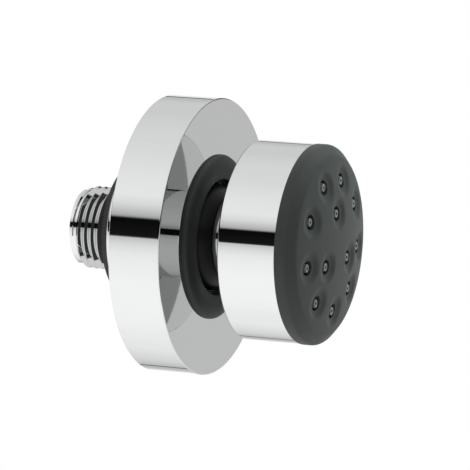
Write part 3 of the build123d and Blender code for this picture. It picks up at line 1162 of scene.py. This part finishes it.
@dataclass(frozen=True)
class Panel:
    """A quarter of the light tent: part of a sphere about the object, seen in polished metal only.

    Angles are in degrees. The glow is given as stops of (elevation, brightness). The front shade is the share
    of the glow that is taken away in a ring about the jet's axis. The ring's edges fade between two distances
    in front of the object, which are given as shares of the radius.
    """

    name: str
    middle: float
    glow: tuple[tuple[float, float], ...]
    front_shade: float = 0.9
    shade_outer: tuple[float, float] = (0.855, 0.875)
    shade_inner: tuple[float, float] = (0.935, 0.955)
    half_width: float = 45.0
    radius: float = 3.0
    columns: int = 16
    rows: int = 64

    def mesh(self) -> bpy.types.Mesh:
        """Makes the panel as a curved grid, from straight below to straight above.

        Returns:
            The mesh.
        """
        points = []
        for row in range(self.rows + 1):
            elevation = math.radians(-90 + 180 * row / self.rows)
            level, height = self.radius * math.cos(elevation), self.radius * math.sin(elevation)
            for column in range(self.columns + 1):
                sideways = self.half_width * (2 * column / self.columns - 1)
                turn = math.radians(self.middle + sideways)
                points.append((level * math.cos(turn), level * math.sin(turn), height))
        wide = self.columns + 1
        starts = [row * wide + column for row in range(self.rows) for column in range(self.columns)]
        faces = [(start, start + 1, start + wide + 1, start + wide) for start in starts]
        mesh = bpy.data.meshes.new(self.name)
        mesh.from_pydata(points, [], faces)
        return mesh

    def material(self) -> bpy.types.Material:
        """Makes the glow, which follows the elevation as seen from the object.

        Returns:
            The material.
        """
        board = MaterialBoard(self.name)
        _, y, z = board.axes()
        elevation = (z / self.radius).math("ARCSINE")
        bright = max(glow for _, glow in self.glow)
        stops = [(0.5 + angle / 180, grey(glow / bright)) for angle, glow in self.glow]
        ramp = board.value("ShaderNodeValToRGB", {"stops": stops}, {"Fac": elevation / math.pi + 0.5})
        ahead = y / -self.radius
        shade = ahead.rise(*self.shade_outer) - ahead.rise(*self.shade_inner)
        strength = bright * (1 - self.front_shade * shade)
        light = board.value("ShaderNodeEmission", inputs={"Color": ramp, "Strength": strength})
        return board.finish_with(light)

    def build(self) -> None:
        """Hangs the panel in the studio."""
        panel = add_object(self.name, self.mesh())
        panel.data.materials.append(self.material())
        panel.visible_camera = False
        panel.visible_diffuse = False
        panel.visible_shadow = False
        panel.visible_transmission = False
        panel.visible_volume_scatter = False


@dataclass(frozen=True)
class Lamp:
    """A soft square lamp that points at the object's middle."""

    name: str
    azimuth: float
    elevation: float
    distance: float
    size: float
    power: float

    def build(self, target: Vector) -> None:
        """Hangs the lamp.

        Args:
            target: the point that the lamp faces.
        """
        light = bpy.data.lights.new(self.name, "AREA")
        light.size = self.size
        light.energy = self.power
        lamp = add_object(self.name, light)
        aim(lamp, target, self.azimuth, self.elevation, self.distance)
        lamp.visible_glossy = False


LEFT_BACK = (
    (-90, 1.35), (-67, 1.40), (-61, 1.50), (-50, 1.53), (-29, 1.53), (-22, 1.49), (-14, 1.445), (-7, 1.376),
    (0, 1.17), (5.0, 0.90), (5.7, 0.013), (19.5, 0.004), (20.6, 0.53), (22, 0.75), (30, 1.18), (37, 1.35),
    (50, 1.31), (62, 1.22), (67, 1.16), (90, 1.10),
)
RIGHT_BACK = (
    (-90, 1.35), (-67, 1.38), (-59, 1.18), (-53, 1.06), (-47, 0.90), (-41, 0.68), (-40.5, 0.08),
    (-39.5, 0.08), (-39, 0.65), (-33, 0.70), (-26, 0.95), (-19, 1.24), (-8, 1.10), (8.4, 0.92), (9.0, 0.10),
    (11.5, 0.10), (12.1, 0.68), (18, 0.72), (25, 0.875), (32, 0.95), (46, 0.99), (58, 1.08), (66, 1.14),
    (90, 1.10),
)
LEFT_FRONT = (
    (-90, 1.35), (-50, 1.45), (-22, 1.40), (-7, 1.30), (0, 1.12), (5.0, 0.90), (5.7, 0.013), (19.5, 0.004),
    (20.6, 0.53), (30, 1.10), (50, 1.25), (90, 1.10),
)
RIGHT_FRONT = (
    (-90, 1.35), (-50, 0.95), (-20, 0.83), (-10.6, 0.79), (5.0, 0.76), (5.7, 0.013), (19.5, 0.004),
    (20.6, 0.53), (30, 0.90), (90, 1.10),
)


@dataclass(frozen=True)
class Studio:
    """The pale floor, the light tent, the lamps, the white surround and the camera."""

    azimuth: float = -66.84
    elevation: float = 10.59
    distance: float = 1.2
    target: Point = (0.0, -0.01906, 0.00081)
    picture_pixels: float = 470.0
    pixels_per_metre: float = 3976.0
    sensor: float = 36.0
    floor_depth: float = 0.5
    floor_radius: float = 1.0
    floor_segments: int = 128
    floor_glow: float = 0.6
    floor_brightness: float = 0.9
    surround: float = 0.24

    def build(self) -> None:
        """Builds the whole studio."""
        self.camera()
        self.world()
        self.floor()
        for panel in (
            Panel("tent_left_back", middle=135, glow=LEFT_BACK),
            Panel("tent_right_back", middle=45, glow=RIGHT_BACK),
            Panel("tent_left_front", middle=-135, glow=LEFT_FRONT),
            Panel("tent_right_front", middle=-45, glow=RIGHT_FRONT),
        ):
            panel.build()
        for lamp in (
            Lamp("key_lamp", azimuth=62, elevation=30, distance=1.4, size=0.7, power=27),
            Lamp("fill_lamp", azimuth=-60, elevation=45, distance=1.6, size=1.0, power=3),
        ):
            lamp.build(Vector(self.target))
        bpy.context.scene.view_settings.view_transform = "Standard"

    def camera(self) -> None:
        """Puts the camera at the photograph's angle, with the lens that gives its scale."""
        data = bpy.data.cameras.new("camera")
        data.sensor_width = self.sensor
        data.lens = self.sensor * self.distance * self.pixels_per_metre / self.picture_pixels
        camera = add_object("camera", data)
        aim(camera, Vector(self.target), self.azimuth, self.elevation, self.distance)
        bpy.context.scene.camera = camera

    def world(self) -> None:
        """White where it is seen, and a plain level where it lights."""
        world = bpy.data.worlds.new("surround")
        world.use_nodes = True
        bpy.context.scene.world = world
        board = Board(world.node_tree)
        plain = board.value("ShaderNodeBackground", inputs={"Color": grey(1.0), "Strength": self.surround})
        white = board.value("ShaderNodeBackground", inputs={"Color": grey(1.0), "Strength": 1.0})
        mixed = board.value("ShaderNodeMixShader", inputs={0: self.seen(board), 1: plain, 2: white})
        board.add("ShaderNodeOutputWorld", inputs={"Surface": mixed})

    @staticmethod
    def seen(board: Board) -> Value:
        """Tells the rays that see the studio from those that light it.

        Args:
            board: the tree that asks.

        Returns:
            1 for a ray that comes from the camera or from a reflection or refraction, or else 0.
        """
        path = board.add("ShaderNodeLightPath")
        camera, glossy, passing = (
            Value(board, path.outputs[f"Is {kind} Ray"]) for kind in ("Camera", "Glossy", "Transmission")
        )
        return (camera + glossy + passing).math("MINIMUM", 1.0)

    def floor(self) -> None:
        """A round pale floor that keeps the object's shadow."""
        turns = [math.tau * step / self.floor_segments for step in range(self.floor_segments)]
        ring = [
            (self.floor_radius * math.cos(turn), self.floor_radius * math.sin(turn), -self.floor_depth)
            for turn in turns
        ]
        mesh = bpy.data.meshes.new("floor")
        mesh.from_pydata(ring, [], [tuple(range(self.floor_segments))])
        floor = add_object("floor", mesh)
        board = MaterialBoard("pale_floor")
        glow = board.value("ShaderNodeEmission", inputs={"Color": grey(1.0), "Strength": 1.0})
        matt = board.value("ShaderNodeBsdfDiffuse", inputs={"Color": grey(self.floor_brightness)})
        share = self.seen(board) * self.floor_glow
        shader = board.value("ShaderNodeMixShader", inputs={0: share, 1: matt, 2: glow})
        floor.data.materials.append(board.finish_with(shader))
        floor.visible_glossy = False


def main() -> None:
    """Builds the studio and dresses the object, sub-assembly by sub-assembly."""
    logging.basicConfig(level=logging.INFO, format="%(message)s")
    workshop = Workshop()
    for assembly in (WallPlate(), InletBody(), BallJoint(), SprayHead()):
        assembly.build(workshop)
    Studio().build()


if __name__ == "__main__":
    main()
